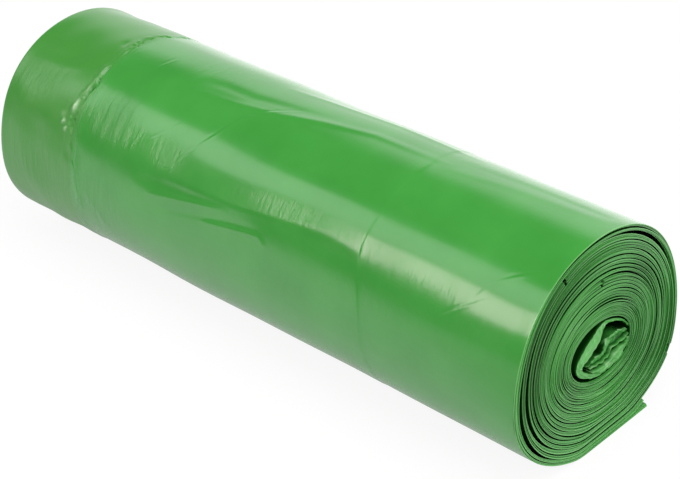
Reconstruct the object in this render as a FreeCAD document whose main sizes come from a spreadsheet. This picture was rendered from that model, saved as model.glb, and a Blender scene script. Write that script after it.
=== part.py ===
# A roll of bin bags lying on its side, as it rests on a table.
# The bags are one long strip of flattened film tube. The strip is folded lengthwise into a band of
# two leaves, joined by a fold at the far end of the roll, and wound with no core tube. Its inner end
# is left crumpled in the middle, and its outer end is a loose tail on the table.
# Frame: +X along the winding axis, towards the end with the open leaves. +Z up. The origin is on the
# table, halfway along the roll and straight below the winding axis. Lengths are in millimetres.
import FreeCAD
import Part
import math
import os

Vector = FreeCAD.Vector

doc = FreeCAD.newDocument("bin_bag_roll")

# The driving dimensions. Lengths in mm, angles in degrees measured in the roll's end face from +Y
# towards +Z, and counts as plain numbers.
SIZES = [
    ("roll_length", 350.0, "half of a 700 mm wide bag: the band as it is wound"),
    ("leaf_thickness", 1.3, "one leaf: the plies of about five real turns, pressed together"),
    ("leaf_slit", 0.5, "space between the two leaves of the band"),
    ("turn_gap", 0.75, "space between one turn of the band and the next"),
    ("tight_gap", 0.4, "the same space where the roll's weight presses the turns flat"),
    ("full_turns", 9.0, "whole turns of the band, before the last part of a turn"),
    ("core_width", 39.0, "the hollow in the middle, along its longer axis"),
    ("core_height", 26.0, "the hollow in the middle, along its shorter axis"),
    ("core_tilt", -8.0, "lean of the hollow's longer axis"),
    ("core_shift_y", 1.4, "the hollow's centre from the winding axis, sideways"),
    ("core_shift_z", -1.2, "the hollow's centre from the winding axis, upwards"),
    ("inner_end_angle", -35.0, "where the band starts in the hollow"),
    ("touch_angle", 257.0, "where the outermost turn comes down flat on the table"),
    ("tail_angle", 298.0, "where the upper leaf of the loose tail ends"),
    ("tail_step", 2.0, "how much further the lower leaf runs than the upper one"),
    ("ground_sag", 3.0, "how far the roll's own weight flattens it"),
    ("top_slack", 1.35, "extra space over the top between outer turns"),
    ("inner_slack", 0.6, "extra space over the top between inner turns"),
    ("left_slack", 1.05, "extra space low on the left between the outermost turns"),
    ("bottom_slack", 0.37, "extra space under the hollow, which is wider there than an ellipse"),
    ("right_slack", 0.6, "extra space low on the right between outer turns"),
    ("crescent_gap", 1.2, "the widest open space, under the outermost turn"),
    ("core_film", 0.9, "the crumpled film in the hollow"),
    ("fold_depth", 1.5, "the fold that joins the two leaves at the far end"),
    ("nick_width", 1.3, "a torn nick at the perforation between two bags, along the film"),
    ("nick_depth", 4.0, "the same nick, in from the open end"),
]

sheet = doc.addObject("Spreadsheet::Sheet", "sizes")
sheet.set("A1", "size")
sheet.set("B1", "value")
sheet.set("C1", "meaning")
for row, (name, value, meaning) in enumerate(SIZES, start=2):
    sheet.set(f"A{row}", name)
    sheet.set(f"B{row}", str(value))
    sheet.set(f"C{row}", meaning)
    sheet.setAlias(f"B{row}", name)
doc.recompute()


def size(name):
    """The value of one named cell of the sheet."""
    return float(getattr(sheet, name))


def angle(name):
    """The value of one named cell that holds degrees, in radians."""
    return math.radians(size(name))


# The winding: where the band runs, turn by turn.

TURN = 2 * math.pi
LEAF = size("leaf_thickness")
SLIT = size("leaf_slit")
BAND = 2 * LEAF + SLIT
PRESSED_PITCH = BAND + size("tight_gap")
INNER_END = angle("inner_end_angle")
OUTER_END = angle("tail_angle") + TURN * round(size("full_turns") - 1)
DOWN_ANGLE = math.radians(270)
CLEAR_ANGLE = math.radians(80)
LAST_DOWN = DOWN_ANGLE + TURN * math.floor((OUTER_END - DOWN_ANGLE) / TURN)
TOUCH = LAST_DOWN - DOWN_ANGLE + angle("touch_angle")
HALF_WIDTH = size("core_width") / 2
HALF_HEIGHT = size("core_height") / 2
ARCS_PER_TURN = 10
ARC_ANGLE = TURN / ARCS_PER_TURN
PRESSED_PIECES = 3
FLAT_WITHIN = 0.003

# Where the extra spaces lie round the roll, as the middle and the half width of each in degrees,
# and how many turns in from the outer end they reach before they fade.
TOP_ANGLES = (90, 95)
TOP_TURNS = 5
LEFT_ANGLES = (206, 56)
LEFT_TURNS = 3
RIGHT_ANGLES = (322, 32)
RIGHT_TURNS = 4
BOTTOM_ANGLES = (270, 90)
CRESCENT_ANGLES = (55, 48)
CRESCENT_AT = LAST_DOWN - DOWN_ANGLE + math.radians(CRESCENT_ANGLES[0]) - TURN
FADE_TURNS = 1.5


def swell(theta, centre_degrees, half_degrees):
    """A smooth hump, 1 at its centre and 0 past its half width, the same in every turn."""
    away = (theta - math.radians(centre_degrees) + math.pi) % TURN - math.pi
    share = away / math.radians(half_degrees)
    return math.cos(share * math.pi / 2) ** 2 if abs(share) < 1 else 0.0


def outer_share(theta, turns):
    """1 within so many turns of the outer end, and 0 once it has faded further in."""
    depth = (OUTER_END - theta) / TURN - turns
    share = min(max(depth / FADE_TURNS, 0.0), 1.0)
    return 1 - share * share * (3 - 2 * share)


def space_over(theta):
    """The space between the band at this winding angle and the turn over it."""
    more_outside = (size("top_slack") - size("inner_slack")) * outer_share(theta, TOP_TURNS)
    space = size("turn_gap") + (size("inner_slack") + more_outside) * swell(theta, *TOP_ANGLES)
    space += size("left_slack") * outer_share(theta, LEFT_TURNS) * swell(theta, *LEFT_ANGLES)
    space += size("right_slack") * outer_share(theta, RIGHT_TURNS) * swell(theta, *RIGHT_ANGLES)
    space += size("bottom_slack") * swell(theta, *BOTTOM_ANGLES)
    if abs(theta - CRESCENT_AT) < math.pi:
        space += size("crescent_gap") * swell(theta, *CRESCENT_ANGLES)
    return space


def growth(theta):
    """How far the band's inner face stands out from the hollow's outline at this winding angle."""
    turns_in = (theta - INNER_END) / TURN
    if turns_in < 1:
        return turns_in * (BAND + space_over(INNER_END))
    return growth(theta - TURN) + BAND + space_over(theta - TURN)


def free_point(theta, height):
    """A point of the winding before the table presses it: a tilted ellipse that grows with theta.

    height is measured outwards from the band's inner face."""
    out = growth(theta) + height
    tilt = angle("core_tilt")
    along = (HALF_WIDTH + out) * math.cos(theta - tilt)
    across = (HALF_HEIGHT + out) * math.sin(theta - tilt)
    y = size("core_shift_y") + along * math.cos(tilt) - across * math.sin(tilt)
    z = size("core_shift_z") + along * math.sin(tilt) + across * math.cos(tilt)
    return y, z


AXIS_HEIGHT = -free_point(LAST_DOWN, BAND)[1] - size("ground_sag")
BLEND_SHARE = 0.4
PRESS_BLEND = size("ground_sag") * BLEND_SHARE


def pressed(z, floor):
    """z held above a floor, with a smooth bend where it comes down to it."""
    near = max(PRESS_BLEND - abs(z - floor), 0.0) / PRESS_BLEND
    return max(z, floor) + near * near * PRESS_BLEND / 4


def floor_under(theta):
    """The height of what the band lies on at this angle: the table, or the turns below it."""
    return PRESSED_PITCH * math.floor((OUTER_END + CLEAR_ANGLE - theta) / TURN)


def band_point(theta, height):
    """A point of the wound band on the table."""
    y, z = free_point(theta, height)
    return Vector(0, y, pressed(z + AXIS_HEIGHT, floor_under(theta) + BAND - height))


def is_pressed(theta):
    """Whether the table or the turns below bend the band at this angle."""
    return free_point(theta, BAND)[1] + AXIS_HEIGHT < floor_under(theta) + PRESS_BLEND


def bent_edge(start, middle, end):
    """An arc through three points, or a straight edge where they lie in line."""
    if middle.distanceToLine(start, end - start) < FLAT_WITHIN:
        return Part.makeLine(start, end)
    return Part.Arc(start, middle, end).toShape()


def face_edges(height, start, end):
    """The line along a face of the band between two winding angles, as a run of arcs.

    The arcs of every face meet at the same angles, so that neighbouring faces stay apart."""
    joints = []
    for k in range(math.floor(start / ARC_ANGLE), math.ceil(end / ARC_ANGLE)):
        pieces = PRESSED_PIECES if is_pressed((k + 0.5) * ARC_ANGLE) else 1
        joints += [(k + i / pieces) * ARC_ANGLE for i in range(pieces)]
    joints = [start] + [theta for theta in joints if start < theta < end] + [end]
    edges = []
    for a, b in zip(joints, joints[1:]):
        edges.append(bent_edge(*[band_point(theta, height) for theta in (a, (a + b) / 2, b)]))
    return edges


def first_point(edges):
    """Where a run of edges starts."""
    return edges[0].Vertexes[0].Point


def last_point(edges):
    """Where a run of edges ends."""
    return edges[-1].Vertexes[-1].Point


def straight(start, end):
    """A run of one straight edge between two points."""
    return [Part.makeLine(start, end)]


def flat_face(*runs):
    """The flat face inside runs of edges that close into one loop."""
    edges = [edge for run in runs for edge in run]
    return Part.Face(Part.Wire(Part.sortEdges(edges)[0]))


# The crumpled inner end, which leaves the start of the band clockwise, lines the hollow, and then
# folds back and forth. Each point is a share of the hollow's half width and half height.
CRUMPLE = [
    (0.64, -0.90), (0.25, -1.04), (-0.20, -1.00), (-0.62, -0.77), (-0.86, -0.35),
    (-0.76, 0.13), (-0.44, 0.57), (-0.03, 0.90), (0.30, 0.90), (0.66, 0.68),
    (0.90, 0.32), (0.90, 0.04), (0.72, 0.06), (0.48, 0.34), (0.25, 0.42),
    (0.10, 0.22), (-0.02, -0.10), (0.08, -0.38), (0.38, -0.36), (0.60, -0.18),
    (0.66, -0.36), (0.40, -0.60), (0.00, -0.70), (-0.42, -0.54), (-0.58, -0.26),
    (-0.36, -0.05),
]


def hollow_point(share_along, share_across):
    """A point in the hollow, from its shares of the half width and half height."""
    tilt = angle("core_tilt")
    along = HALF_WIDTH * share_along
    across = HALF_HEIGHT * share_across
    y = size("core_shift_y") + along * math.cos(tilt) - across * math.sin(tilt)
    z = size("core_shift_z") + along * math.sin(tilt) + across * math.cos(tilt)
    return Vector(0, y, z + AXIS_HEIGHT)


def film_side(middle, distance, start):
    """The line at a distance to the right of the film's middle line, seen from +X."""
    points = [start]
    steps = 2 * len(CRUMPLE)
    for i in range(1, steps + 1):
        at = middle.FirstParameter + (middle.LastParameter - middle.FirstParameter) * i / steps
        run = middle.tangent(at)[0]
        points.append(middle.value(at) + Vector(0, run.z, -run.y) * distance)
    return [bent_edge(*points[i:i + 3]) for i in range(0, steps, 2)]


# The outline of the whole band, with both leaves as one: inner face, tail, outer face, crumpled end.
inner_face = face_edges(0, INNER_END, OUTER_END)
outer_face = face_edges(BAND, INNER_END, TOUCH)
tail_tip = Vector(0, band_point(OUTER_END, LEAF).y + size("tail_step"), 0)
band_start = first_point(inner_face)
across_start = (first_point(outer_face) - band_start).normalize()
film_start = band_start + across_start * size("core_film")
film_middle = Part.BSplineCurve()
film_middle.interpolate([(band_start + film_start) / 2] + [hollow_point(*share) for share in CRUMPLE])
film_inside = film_side(film_middle, size("core_film") / 2, band_start)
film_outside = film_side(film_middle, -size("core_film") / 2, film_start)

band_outline = doc.addObject("Part::Feature", "band_outline")
band_outline.Shape = flat_face(
    inner_face,
    straight(last_point(inner_face), tail_tip),
    straight(tail_tip, last_point(outer_face)),
    outer_face,
    straight(first_point(outer_face), film_start),
    film_outside,
    straight(last_point(film_outside), last_point(film_inside)),
    film_inside,
)

band = doc.addObject("Part::Extrusion", "band")
band.Base = band_outline
band.DirMode = "Custom"
band.Dir = Vector(1, 0, 0)
band.Solid = True
band.setExpression("LengthFwd", "sizes.roll_length / 2")
band.setExpression("LengthRev", "sizes.roll_length / 2")

# The space between the two leaves. It stays closed at the far end, where the film is folded, and it
# opens as a wedge at the tail, where the upper leaf follows the roll and the lower one the table.
CLOSED_ANGLE = math.radians(7)
OPEN_ANGLE = math.radians(3)
SLIT_START = INNER_END + CLOSED_ANGLE
SLIT_END = OUTER_END + OPEN_ANGLE
upper_side = face_edges(LEAF, SLIT_START, SLIT_END)
lower_side = face_edges(LEAF + SLIT, SLIT_START, TOUCH)
lower_end = Vector(0, tail_tip.y + size("tail_step"), LEAF)

slit_outline = doc.addObject("Part::Feature", "slit_outline")
slit_outline.Shape = flat_face(
    upper_side,
    straight(last_point(upper_side), lower_end),
    straight(lower_end, last_point(lower_side)),
    lower_side,
    straight(first_point(lower_side), first_point(upper_side)),
)

slit = doc.addObject("Part::Extrusion", "slit")
slit.Base = slit_outline
slit.DirMode = "Custom"
slit.Dir = Vector(1, 0, 0)
slit.Solid = True
slit.setExpression("LengthFwd", "sizes.roll_length / 2 + sizes.nick_depth")
slit.setExpression("LengthRev", "sizes.roll_length / 2 - sizes.fold_depth")

two_leaves = doc.addObject("Part::Cut", "two_leaves")
two_leaves.Base = band
two_leaves.Tool = slit

# Nicks in the open end, where the perforation between two bags starts. Each is given by its angle
# in degrees and by how many turns it lies in from the outer end. It cuts a little past the band.
NICKS = [(112, 1), (86, 5), (327, 1)]
PAST_BAND = size("turn_gap") / 3
nick_boxes = []
for number, (degrees, turns_in) in enumerate(NICKS, start=1):
    theta = LAST_DOWN - DOWN_ANGLE + math.radians(degrees) - TURN * turns_in
    inside = band_point(theta, -PAST_BAND)
    outside = band_point(theta, BAND + PAST_BAND)
    outward = outside - inside
    nick = doc.addObject("Part::Box", f"nick_{number}")
    nick.setExpression("Length", "2 * sizes.nick_depth")
    nick.setExpression("Width", "sizes.nick_width")
    nick.Height = outward.Length
    corner = Vector(size("roll_length") / 2 - size("nick_depth"), 0, 0) + inside
    turn = FreeCAD.Rotation(Vector(0, 0, 1), outward)
    nick.Placement = FreeCAD.Placement(corner - turn.multVec(Vector(0, size("nick_width") / 2, 0)), turn)
    nick_boxes.append(nick)

nicks = doc.addObject("Part::MultiFuse", "nicks")
nicks.Shapes = nick_boxes

bag_roll = doc.addObject("Part::Cut", "bag_roll")
bag_roll.Base = two_leaves
bag_roll.Tool = nicks
bag_roll.Label = "bag_roll"

doc.recompute()

for item in doc.Objects:
    if "Invalid" in item.State or "Error" in item.State:
        raise RuntimeError(f"{item.Label} did not compute: {item.State}")
    if hasattr(item, "Shape") and (item.Shape.isNull() or not item.Shape.isValid()):
        raise RuntimeError(f"{item.Label} has no valid shape")

os.makedirs("parts", exist_ok=True)
for item in [bag_roll]:
    item.Shape.exportStep(f"parts/{item.Label}.step")
    print(item.Label, len(item.Shape.Solids), "solid", round(item.Shape.Volume / 1000, 1), "cm3")
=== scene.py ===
import math

import bpy
import numpy as np
from mathutils import Matrix, Vector


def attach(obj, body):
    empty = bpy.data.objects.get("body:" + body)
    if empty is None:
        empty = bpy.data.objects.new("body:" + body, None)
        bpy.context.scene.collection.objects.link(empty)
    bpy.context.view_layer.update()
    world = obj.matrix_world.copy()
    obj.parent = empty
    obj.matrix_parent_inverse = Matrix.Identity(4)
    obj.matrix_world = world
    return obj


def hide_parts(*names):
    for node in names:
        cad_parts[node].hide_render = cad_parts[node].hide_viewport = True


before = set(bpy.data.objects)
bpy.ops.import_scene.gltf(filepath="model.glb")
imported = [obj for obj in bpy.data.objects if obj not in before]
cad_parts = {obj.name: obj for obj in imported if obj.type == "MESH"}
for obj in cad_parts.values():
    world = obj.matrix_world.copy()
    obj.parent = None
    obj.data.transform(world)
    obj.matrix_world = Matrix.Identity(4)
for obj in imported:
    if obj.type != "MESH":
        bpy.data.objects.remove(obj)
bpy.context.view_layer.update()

# ---------------------------------------------------------------- camera
# The roll is seen from in front of its open end, a little from above. The picture is 680 x 479.
CAMERA_RIGHT = Vector((0.70140, 0.70529, -0.10292))
CAMERA_UP = Vector((-0.32525, 0.44519, 0.83426))
CAMERA_BACK = Vector((0.63424, -0.55168, 0.54165))
CAMERA_AIM = Vector((0.0, 0.0, 0.05155))
CAMERA_DISTANCE = 0.979
SENSOR = 36.0
PICTURE_WIDTH = 680
PICTURE_HEIGHT = 479
FOCUS_PIXELS = 2034.9
CENTRE_COLUMN = 312.9
CENTRE_ROW = 214.8

camera_data = bpy.data.cameras.new("camera")
camera_data.sensor_width = SENSOR
camera_data.lens = FOCUS_PIXELS / PICTURE_WIDTH * SENSOR
camera_data.shift_x = (PICTURE_WIDTH / 2 - CENTRE_COLUMN) / PICTURE_WIDTH
camera_data.shift_y = (CENTRE_ROW - PICTURE_HEIGHT / 2) / PICTURE_WIDTH
camera_data.clip_start = 0.01
camera = bpy.data.objects.new("camera", camera_data)
turned = Matrix((CAMERA_RIGHT, CAMERA_UP, CAMERA_BACK)).transposed().to_4x4()
camera.matrix_world = Matrix.Translation(CAMERA_AIM + CAMERA_BACK * CAMERA_DISTANCE) @ turned
bpy.context.scene.collection.objects.link(camera)
bpy.context.scene.camera = camera
bpy.context.scene.view_settings.view_transform = "Standard"

# ---------------------------------------------------------------- outer bag
# The outermost turn is the last bag of the strip: glossy polythene tube, folded once into a band of
# two leaves. It is pulled tight round the roll, so it shows a puckered ring where it was gathered,
# a fold line across it and drag creases, and its end lies loose on the table.
MM = 0.001
TURN = 2 * math.pi
ROLL_LENGTH = 350.0
HALF_LENGTH = ROLL_LENGTH / 2
LEAF = 1.3
SLIT = 0.5
BAND = 2 * LEAF + SLIT
TURN_GAP = 0.75
PRESSED_PITCH = BAND + 0.4
HOLLOW_WIDTH = 39.0
HOLLOW_HEIGHT = 26.0
HOLLOW_TILT = math.radians(-8)
HOLLOW_Y = 1.4
HOLLOW_Z = -1.2
INNER_END = math.radians(-35)
OUTER_END = math.radians(298) + 8 * TURN
LAST_DOWN = math.radians(270) + 8 * TURN
TOUCH = math.radians(257) + 8 * TURN
CRESCENT_TURN = math.radians(55) + 8 * TURN
CRESCENT = 1.2
GROUND_SAG = 3.0
PRESS_BLEND = GROUND_SAG * 0.4
CLEAR_ANGLE = math.radians(80)
TAIL_STEP = 2.0
FOLD_DEPTH = 1.5

# The film is wound more finely than the solids show: 12.925 turns instead of 8.925, closer inside.
FINE_TURNS = 12.925
SOLID_TURNS = (OUTER_END - INNER_END) / TURN
CLOSER = (1 - SOLID_TURNS / FINE_TURNS) / FINE_TURNS


def swell(theta, centre, half):
    """A hump in degrees round the roll: cos squared of the share of the half width, 0 past it."""
    away = (theta - math.radians(centre) + math.pi) % TURN - math.pi
    share = np.clip(away / math.radians(half), -1, 1)
    return np.cos(share * math.pi / 2) ** 2


def outer_share(theta, turns):
    """1 within so many turns of the outer end, then down to 0 over one and a half turns."""
    share = np.clip(((OUTER_END - theta) / TURN - turns) / 1.5, 0, 1)
    return 1 - share * share * (3 - 2 * share)


# Slack between the turns, in mm: over the top and more of it outside, at the lower left, at the
# lower right and below.
TOP_SLACK, TOP_SLACK_OUTSIDE = 0.6, 0.75
LEFT_SLACK, RIGHT_SLACK, BOTTOM_SLACK = 1.05, 0.6, 0.37


def space_over(theta):
    """The space between one turn of the band and the next: a plain gap plus humps of slack, most of
    which keep to the outer turns."""
    top = TOP_SLACK + TOP_SLACK_OUTSIDE * outer_share(theta, 5)
    space = TURN_GAP + top * swell(theta, 90, 95)
    space = space + LEFT_SLACK * outer_share(theta, 3) * swell(theta, 206, 56)
    space = space + RIGHT_SLACK * outer_share(theta, 4) * swell(theta, 322, 32)
    return space + BOTTOM_SLACK * swell(theta, 270, 90)


def solid_growth(theta):
    """How far the band stands out from the hollow: its own share of the first turn, then one band
    and one space for each whole turn below."""
    whole = np.floor((theta - INNER_END) / TURN)
    first = theta - whole * TURN
    out = (first - INNER_END) / TURN * (BAND + space_over(np.full(1, INNER_END))[0])
    for turn in range(int(whole.max()) + 1):
        out = out + np.where(turn < whole, BAND + space_over(first + turn * TURN), 0)
    return out


def solid_turns(turns_in):
    """Turns of the solids from the outer end, for fine turns from it: a line with a slight bend."""
    return turns_in * (1 - CLOSER * turns_in)


# The share of the slack that plies lying apart fill, and what else the band is thicker by, in mm:
# everywhere, less at the open left, and now more and now less along the winding.
FILLED = 0.9
PLAIN_FILL, LEFT_OPEN, UNEVEN_FILL = 0.42, 0.80, 0.12


def closeness(psi):
    """How thick the band is at a fine winding angle, as a share of the solid's: the bend's slope,
    and more where its plies lie apart and fill the space, which is everywhere but at the left of
    the outer turns, where open gaps of uneven width stay."""
    top = TOP_SLACK + TOP_SLACK_OUTSIDE * outer_share(psi, 4)
    fuller = FILLED * top / BAND * swell(psi, 90, 95)
    fuller = fuller + FILLED * outer_share(psi, 3) / BAND * swell(psi, 240, 46)
    open_left = swell(psi, 176, 58) * (0.25 + 0.75 * outer_share(psi, 4))
    fuller = fuller + (PLAIN_FILL - LEFT_OPEN * open_left) / BAND
    fuller = fuller + UNEVEN_FILL / BAND * np.cos(0.83 * psi + 1.0)
    fuller = fuller * (psi < OUTER_END - TURN)
    return (1 - 2 * CLOSER * (OUTER_END - psi) / TURN) * (1 + fuller)


def growth(psi):
    """How far the fine band stands out: between the two solid turns nearest in the same direction,
    plus the open crescent under the outermost turn."""
    solid = OUTER_END - TURN * solid_turns((OUTER_END - psi) / TURN)
    steps = np.floor((solid - psi) / TURN)
    below = psi + steps * TURN
    share = (solid - below) / TURN
    inner = solid_growth(np.maximum(below, INNER_END))
    out = inner + share * (solid_growth(below + TURN) - inner)
    return out + np.where(psi > CRESCENT_TURN - math.pi, CRESCENT * swell(psi, 55, 48), 0)


def free_point(psi, height):
    """A tilted ellipse round the hollow that grows with the winding angle, before it is pressed."""
    out = growth(psi) + height
    along = (HOLLOW_WIDTH / 2 + out) * np.cos(psi - HOLLOW_TILT)
    across = (HOLLOW_HEIGHT / 2 + out) * np.sin(psi - HOLLOW_TILT)
    y = HOLLOW_Y + along * math.cos(HOLLOW_TILT) - across * math.sin(HOLLOW_TILT)
    z = HOLLOW_Z + along * math.sin(HOLLOW_TILT) + across * math.cos(HOLLOW_TILT)
    return y, z


AXIS_HEIGHT = -free_point(np.full(1, LAST_DOWN), BAND)[1][0] - GROUND_SAG


def pressed(z, floor):
    """z held above a floor, with a parabola where it comes down to it."""
    near = np.maximum(PRESS_BLEND - np.abs(z - floor), 0) / PRESS_BLEND
    return np.maximum(z, floor) + near * near * PRESS_BLEND / 4


def band_point(psi, height):
    """A point of the wound band: the free point, kept above the table and the turns below it.

    height runs from 0 on the band's inner face to BAND on its outer face. The lower leaf of the
    loose end runs straight along the table from where it touches down."""
    scale = closeness(psi)
    y, z = free_point(psi, height * scale)
    below = np.maximum(np.floor((OUTER_END + CLEAR_ANGLE - psi) / TURN), 0)
    floor = PRESSED_PITCH * solid_turns(below) + (BAND - height) * scale
    z = pressed(z + AXIS_HEIGHT, floor)
    past = np.clip((psi - TOUCH) / (OUTER_END - TOUCH), 0, 1)
    lower = np.clip((height - LEAF) / SLIT, 0, 1) * (past > 0)
    y = y + lower * (TOUCH_Y + past * (TAIL_Y - TOUCH_Y) - y)
    z = z + lower * (BAND - height - z)
    return y, z


def waves(rng, angle, x, count, round_most, length_least):
    """Smooth unevenness of about plus or minus 1: a sum of cosines with whole numbers of waves
    round the roll and random lengths along it."""
    total = 0
    for _ in range(count):
        rounds = rng.integers(1, round_most + 1) * rng.choice((-1, 1))
        length = length_least * rng.uniform(1, 3) * rng.choice((-1, 1))
        total = total + np.cos(rounds * angle + TURN * (x / length + rng.uniform()))
    return total / math.sqrt(count)


def bell(distance, width):
    """A bell curve: e to minus the square of the distance as a share of the width."""
    return np.exp(-(distance / width) ** 2)


# The outer film's mean radius in mm turns an angle into a length round the roll.
MEAN_RADIUS = 54.0


def crease_line(angle, x, line):
    """Signed distance in mm to a line of (x in mm, angle in degrees) points on the unrolled film,
    and a share that is 1 along the line's middle, falls towards its ends and fades past them."""
    s = np.degrees(angle) % 360 * MEAN_RADIUS * TURN / 360
    points = np.array(line, dtype=float)
    points[:, 1] *= MEAN_RADIUS * TURN / 360
    best = np.full(np.broadcast(angle, x).shape, 1e9)
    side, beyond, passed = np.zeros_like(best), np.zeros_like(best), np.zeros_like(best)
    last = len(points) - 2
    lengths = np.hypot(*np.diff(points, axis=0).T)
    for number, (a, b) in enumerate(zip(points, points[1:])):
        long = math.hypot(*(b - a))
        run = (b - a) / long
        at = (x - a[0]) * run[0] + (s - a[1]) * run[1]
        off = (s - a[1]) * run[0] - (x - a[0]) * run[1]
        far = np.hypot(at - np.clip(at, 0, long), off)
        past = np.maximum(-at, 0) * (number == 0) + np.maximum(at - long, 0) * (number == last)
        nearer = far < best
        best = np.where(nearer, far, best)
        side = np.where(nearer, np.where(off < 0, -far, far), side)
        beyond = np.where(nearer, past, beyond)
        passed = np.where(nearer, lengths[:number].sum() + np.clip(at, 0, long), passed)
    from_end = np.minimum(passed, lengths.sum() - passed) / (0.3 * lengths.sum())
    rise = 0.3 + 0.7 * np.sin(np.clip(from_end, 0, 1) * math.pi / 2)
    return side, rise * bell(beyond, 4)


# Where the ring and the fold line cross the roll, and how far they lean from there by the angle.
RING_PLACE = -116.0
RING_ANGLES = [0, 40, 68, 76, 84, 93, 104, 118, 130, 139, 148, 158, 166, 173, 182, 191, 235, 300,
               360]
RING_LEANS = [2, 2, 1.6, -1.8, -3.9, -2, -1.5, -1, -3.2, -4.5, -3, -0.6, 2, 4.4, 5, 3.7, 2, 2, 2]
FOLD_PLACE = 79.0
FOLD_ANGLES = [0, 40, 74, 87, 104, 123, 136, 146, 170, 200, 300, 360]
FOLD_LEANS = [-4, -5, -2.5, 0.4, 0.4, 0.1, -0.7, 1.6, 6, 9, 0, -4]
# The ring's gathers: uneven steps round it in degrees, and at each of them how far the ring jags
# along the roll in mm and how hard it is pinched.
RING_GATHERS = np.random.default_rng(17)
RING_STEPS = np.cumsum(RING_GATHERS.uniform(0.7, 2.6, 218))
RING_JAGS = RING_GATHERS.uniform(-0.8, 0.8, len(RING_STEPS))
RING_PINCHES = 2.2 * RING_GATHERS.uniform(0.0, 1.0, len(RING_STEPS)) ** 2


def lean(angle, x):
    """How far the film's two creases across the roll wander along it, and the mesh's columns with
    them: each line's own wandering times a bell curve over the distance from the line."""
    degrees = np.degrees(angle) % 360
    ring = np.interp(degrees, RING_ANGLES, RING_LEANS) * bell(x - RING_PLACE, 26)
    fold = np.interp(degrees, FOLD_ANGLES, FOLD_LEANS) * bell(x - FOLD_PLACE, 34)
    return ring + fold


# Creases of the outer film, each a line of (x, angle) points with its height and half width in mm.
# A fold stands out or dips as one hump. A hair crease goes up on one side and down on the other.
FOLDS = [
    (0.38, 2.0, [(-62, 101), (-35, 99.5), (-10, 96), (14, 89), (42, 83), (86, 82)]),
    (-0.34, 2.8, [(-63, 94), (-50, 92), (-30, 92), (-5, 88), (18, 84)]),
    (0.30, 2.0, [(-24, 74), (0, 70), (40, 66), (90, 66)]),
    (0.46, 3.4, [(-46, 146), (-25, 146), (2, 144), (39, 139), (57, 137), (77, 138)]),
    (-0.28, 3.4, [(-66, 153), (-40, 150), (-10, 147)]),
    (0.30, 2.0, [(-58, 159.5), (-39, 155), (-22.6, 151.8), (-5, 149)]),
    (-0.34, 3.0, [(-56, 166), (-28, 159), (-2, 154), (16, 152)]),
    (0.34, 1.7, [(-18, 160.5), (-2, 157), (10, 155), (18, 154), (22, 157)]),
    (1.00, 1.7, [(-122.0, 131.5), (-122.5, 136)]),
    (0.65, 1.2, [(-127.4, 142), (-126.9, 144)]),
    (0.70, 1.2, [(-124.6, 145), (-124.0, 147)]),
    (-0.50, 1.7, [(-119.5, 140), (-119.0, 145)]),
    (-0.40, 1.6, [(-126.5, 90), (-124.0, 94)]),
    (0.30, 3.0, [(-160, 118), (-145, 117), (-130, 113)]),
    (-0.35, 4.0, [(-175, 112), (-155, 113), (-132, 109)]),
    (0.30, 6.5, [(-175, 134), (-150, 139), (-128, 145)]),
    (-0.22, 6.0, [(-172, 146), (-150, 152), (-126, 158)]),
    (0.20, 2.6, [(-108, 176), (-96, 186), (-90, 198)]),
    (-0.30, 2.4, [(-121, 157), (-118, 163)]),
    (0.22, 2.0, [(-113.5, 160), (-111, 175), (-111, 190)]),
    (0.20, 2.2, [(84, 85), (120, 81), (172, 77)]),
    (-0.16, 2.2, [(88, 77), (130, 74), (170, 72)]),
]
HAIR_CREASES = [
    (0.20, 0.75, [(-47.7, 140.4), (-45.7, 137.6), (-43, 133.5), (-36.5, 125.6), (-30.6, 117.4),
                  (-23.6, 104), (-12, 94.6), (-3, 88)]),
    (0.10, 0.65, [(128.5, 150), (134, 145.5), (139, 141), (149, 133.6)]),
    (0.11, 0.65, [(143, 134.6), (148.2, 126), (156.8, 120), (166, 114.3)]),
    (0.13, 0.7, [(-66.7, 133), (-59.6, 126.5), (-54, 119)]),
    (0.13, 0.8, [(-92.9, 96.7), (-90.2, 88)]),
    (0.13, 0.8, [(-157.4, 130), (-155.5, 124.8)]),
    (0.10, 0.7, [(-78, 141), (-75, 134), (-74, 127)]),
    (0.10, 0.7, [(-86, 143), (-84, 136), (-83, 130)]),
]
# Patches where the film is finely puckered: middle x and angle, reach along and round, strength.
PUCKERED = [
    (-93, 131, 17, 11, 1.5), (-52, 135, 9, 8, 1.3), (36, 136, 26, 4, 0.5), (110, 142, 26, 4, 0.5),
    (-155, 126, 16, 11, 0.8), (-100, 182, 22, 17, 0.7), (-146, 180, 22, 19, 0.9),
    (150, 148, 22, 4, 0.4), (-60, 84, 14, 8, 0.4), (10, 176, 40, 8, 0.25),
]


def puckering(angle, x):
    """How finely puckered the film is, from 0 to 1: bell-shaped patches, and the gathered ring."""
    degrees = np.degrees(angle) % 360
    off = x - RING_PLACE - np.interp(degrees, RING_ANGLES, RING_LEANS)
    share = (0.3 + 0.7 * bell(degrees - 145, 34)) * bell(off, 6)
    for middle, at, along, around, strength in PUCKERED:
        patch = np.exp(-((x - middle) / along) ** 2 - ((degrees - at) / around) ** 2)
        share = np.maximum(share, strength * patch)
    return share


# Painted highlights along the gathered ring, pale spots standing in for glints: middle x and angle,
# reach along and round, and strength.
PAINTED_GLINTS = [(-121.8, 132.6, 1.2, 3.0, 0.9), (-119.4, 123, 0.8, 4.5, 0.35),
             (-118.2, 113, 0.7, 3.5, 0.2), (-127.0, 142.5, 0.8, 1.1, 0.6),
             (-124.3, 146, 0.8, 1.1, 0.6), (-128.5, 139, 1.6, 1.5, 0.2)]


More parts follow.
